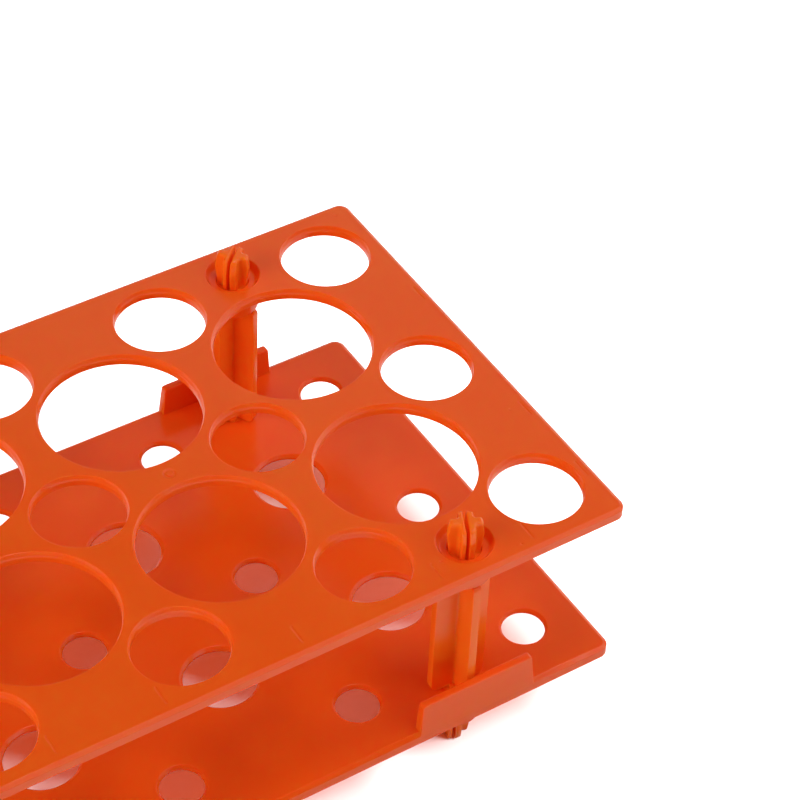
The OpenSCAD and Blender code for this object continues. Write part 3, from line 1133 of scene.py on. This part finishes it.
class RACK_OT_lower_plate(bpy.types.Operator):
    """Build the lower plate with its tip holes, post seats, ejector marks and rails."""

    bl_idname = "rack.lower_plate"
    bl_label = "Lower plate"

    def execute(self, context):
        scene = context.scene
        grid, plate = scene.rack_grid, scene.rack_plate
        seats, rails = scene.rack_seats, scene.rack_rails
        top_z = LOWER_LOW.z + seats.boss_l
        holes = [
            ("Narrow tips", "narrow",
             tip_profile("narrow_tip_profile", grid.narrow_tip_r, grid.narrow_dish, plate, top_z)),
            ("Wide tips", "wide",
             tip_profile("wide_tip_profile", grid.wide_tip_r, grid.wide_dish, plate, top_z)),
            ("Seats", "seats", lower_seat_profile(seats, plate, top_z)),
            ("Ejector marks", "between rows", ejector_profile(top_z - plate.thickness)),
        ]
        material = plate_plastic(scene.rack_finish, pitch=grid.pitch)
        piece = grown_plate("lower_plate_skin", holes, plate_inputs(scene, top_z, material),
                            plate.steps_per_mm)
        unite(piece, [shell("rail", rail_rings(rails, x, LOWER_HIGH.y, side, top_z), material)
                      for x in (-seats.x, seats.x) for side in (-1, 1)])
        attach(piece, BODY)
        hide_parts("lower_plate")
        return {"FINISHED"}


class RACK_OT_posts(bpy.types.Operator):
    """Build the four snap-in posts, each turned as it sits in its seats."""

    bl_idname = "rack.posts"
    bl_label = "Posts"

    def execute(self, context):
        scene = context.scene
        posts, seats = scene.rack_posts, scene.rack_seats
        material = post_plastic(scene.rack_finish)
        low = LOWER_LOW.z + seats.boss_l
        high = TOP_LOW.z
        grip_l = seats.boss_l - seats.recess_depth
        for name, (side_x, side_y, shaft_turn, plug_turn) in POST_TURNS.items():
            centre = Vector((side_x * seats.x, side_y * seats.y))
            shaft_turn, plug_turn = math.radians(shaft_turn), math.radians(plug_turn)
            piece = shell(name + "_skin",
                          shaft_rings(posts, low, high, centre, shaft_turn), material)
            tip = high + grip_l + posts.head_l
            block = (centre, plug_turn,
                     posts.slot_w / 2 + BLOCK_OVERLAP, posts.neck_r * BLOCK_SHARE)
            inner = [block_rings(*block, high - BLOCK_ROOT, tip - posts.slot_depth),
                     block_rings(*block, posts.slot_depth, low + BLOCK_ROOT)]
            for half in (-1, 1):
                inner.append(plug_rings(posts, half, tip, grip_l, True, centre, plug_turn))
                inner.append(plug_rings(posts, half, 0.0, seats.boss_l, False, centre, plug_turn))
                inner.append(web_rings(posts, half, centre, plug_turn,
                                       high + WEB_START, high + grip_l - posts.web_depth))
                inner.append(web_rings(posts, half, centre, plug_turn,
                                       posts.head_l + posts.web_depth, low - WEB_START))
            unite(piece, [shell("plug", rings, material) for rings in inner])
            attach(piece, BODY)
            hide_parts(name)
        return {"FINISHED"}


class RACK_OT_stage(bpy.types.Operator):
    """Set the floor, the soft lights and the camera."""

    bl_idname = "rack.stage"
    bl_label = "Stage"

    def execute(self, context):
        scene = context.scene
        studio = scene.rack_studio
        floor = floor_sheet(studio)
        scene.world = studio_world(studio)

        on_rack = receivers("rack_only", [
            piece for piece in scene.objects if piece.type == "MESH" and piece is not floor])
        on_floor = receivers("floor_only", [floor])
        for name, (azimuth, elevation, reach, side, strength, floor_too) in SOFT_BOXES.items():
            light = soft_box(name, azimuth, elevation, reach, side,
                             strength * studio.power * reach ** 2)
            light.visible_glossy = name != NO_GLARE
            if not floor_too:
                light.light_linking.receiver_collection = on_rack
        for name, (azimuth, elevation) in FLOOR_LIGHTS.items():
            light = soft_box(name, azimuth, elevation, FLOOR_LIGHT_REACH, FLOOR_LIGHT_SIDE,
                             studio.floor_power)
            light.light_linking.receiver_collection = on_floor

        lens = bpy.data.cameras.new("camera")
        lens.lens = studio.lens
        lens.sensor_width = 36
        lens.shift_x, lens.shift_y = studio.shift
        lens.clip_start, lens.clip_end = 0.01, 20
        camera = link(bpy.data.objects.new("camera", lens))
        camera.location = studio.place
        camera.rotation_euler = Euler(studio.turn, "XYZ")
        scene.camera = camera
        scene.view_settings.view_transform = "Standard"
        return {"FINISHED"}


class RACK_PT_build(bpy.types.Panel):
    """Lists the steps that build the rack, with the sizes that they use."""

    bl_idname = "RACK_PT_build"
    bl_label = "Tube rack"
    bl_space_type = "VIEW_3D"
    bl_region_type = "UI"
    bl_category = "Tube rack"

    def draw(self, context):
        scene = context.scene
        for title, groups, operator in (
                ("Top plate", (scene.rack_grid, scene.rack_plate, scene.rack_seats),
                 RACK_OT_top_plate),
                ("Lower plate", (scene.rack_rails,), RACK_OT_lower_plate),
                ("Posts", (scene.rack_posts,), RACK_OT_posts),
                ("Stage", (scene.rack_finish, scene.rack_studio), RACK_OT_stage)):
            box = self.layout.box()
            box.label(text=title)
            for group in groups:
                for key in group.bl_rna.properties.keys():
                    if key not in ("rna_type", "name"):
                        box.prop(group, key)
            box.operator(operator.bl_idname)


GROUPS = {
    "rack_grid": RackGrid, "rack_plate": RackPlate, "rack_seats": RackSeats,
    "rack_rails": RackRails, "rack_posts": RackPosts, "rack_finish": RackFinish,
    "rack_studio": RackStudio,
}
OPERATORS = (RACK_OT_top_plate, RACK_OT_lower_plate, RACK_OT_posts, RACK_OT_stage)


def register():
    """Adds the classes, and the settings to every scene."""
    for cls in (*GROUPS.values(), *OPERATORS, RACK_PT_build):
        bpy.utils.register_class(cls)
    for name, cls in GROUPS.items():
        setattr(bpy.types.Scene, name, bpy.props.PointerProperty(type=cls))


def unregister():
    """Takes the settings and the classes away again."""
    for name in GROUPS:
        delattr(bpy.types.Scene, name)
    for cls in reversed((*GROUPS.values(), *OPERATORS, RACK_PT_build)):
        bpy.utils.unregister_class(cls)


def main():
    """Builds everything in order."""
    register()
    bpy.ops.rack.top_plate()
    bpy.ops.rack.lower_plate()
    bpy.ops.rack.posts()
    bpy.ops.rack.stage()


if __name__ == "__main__":
    main()
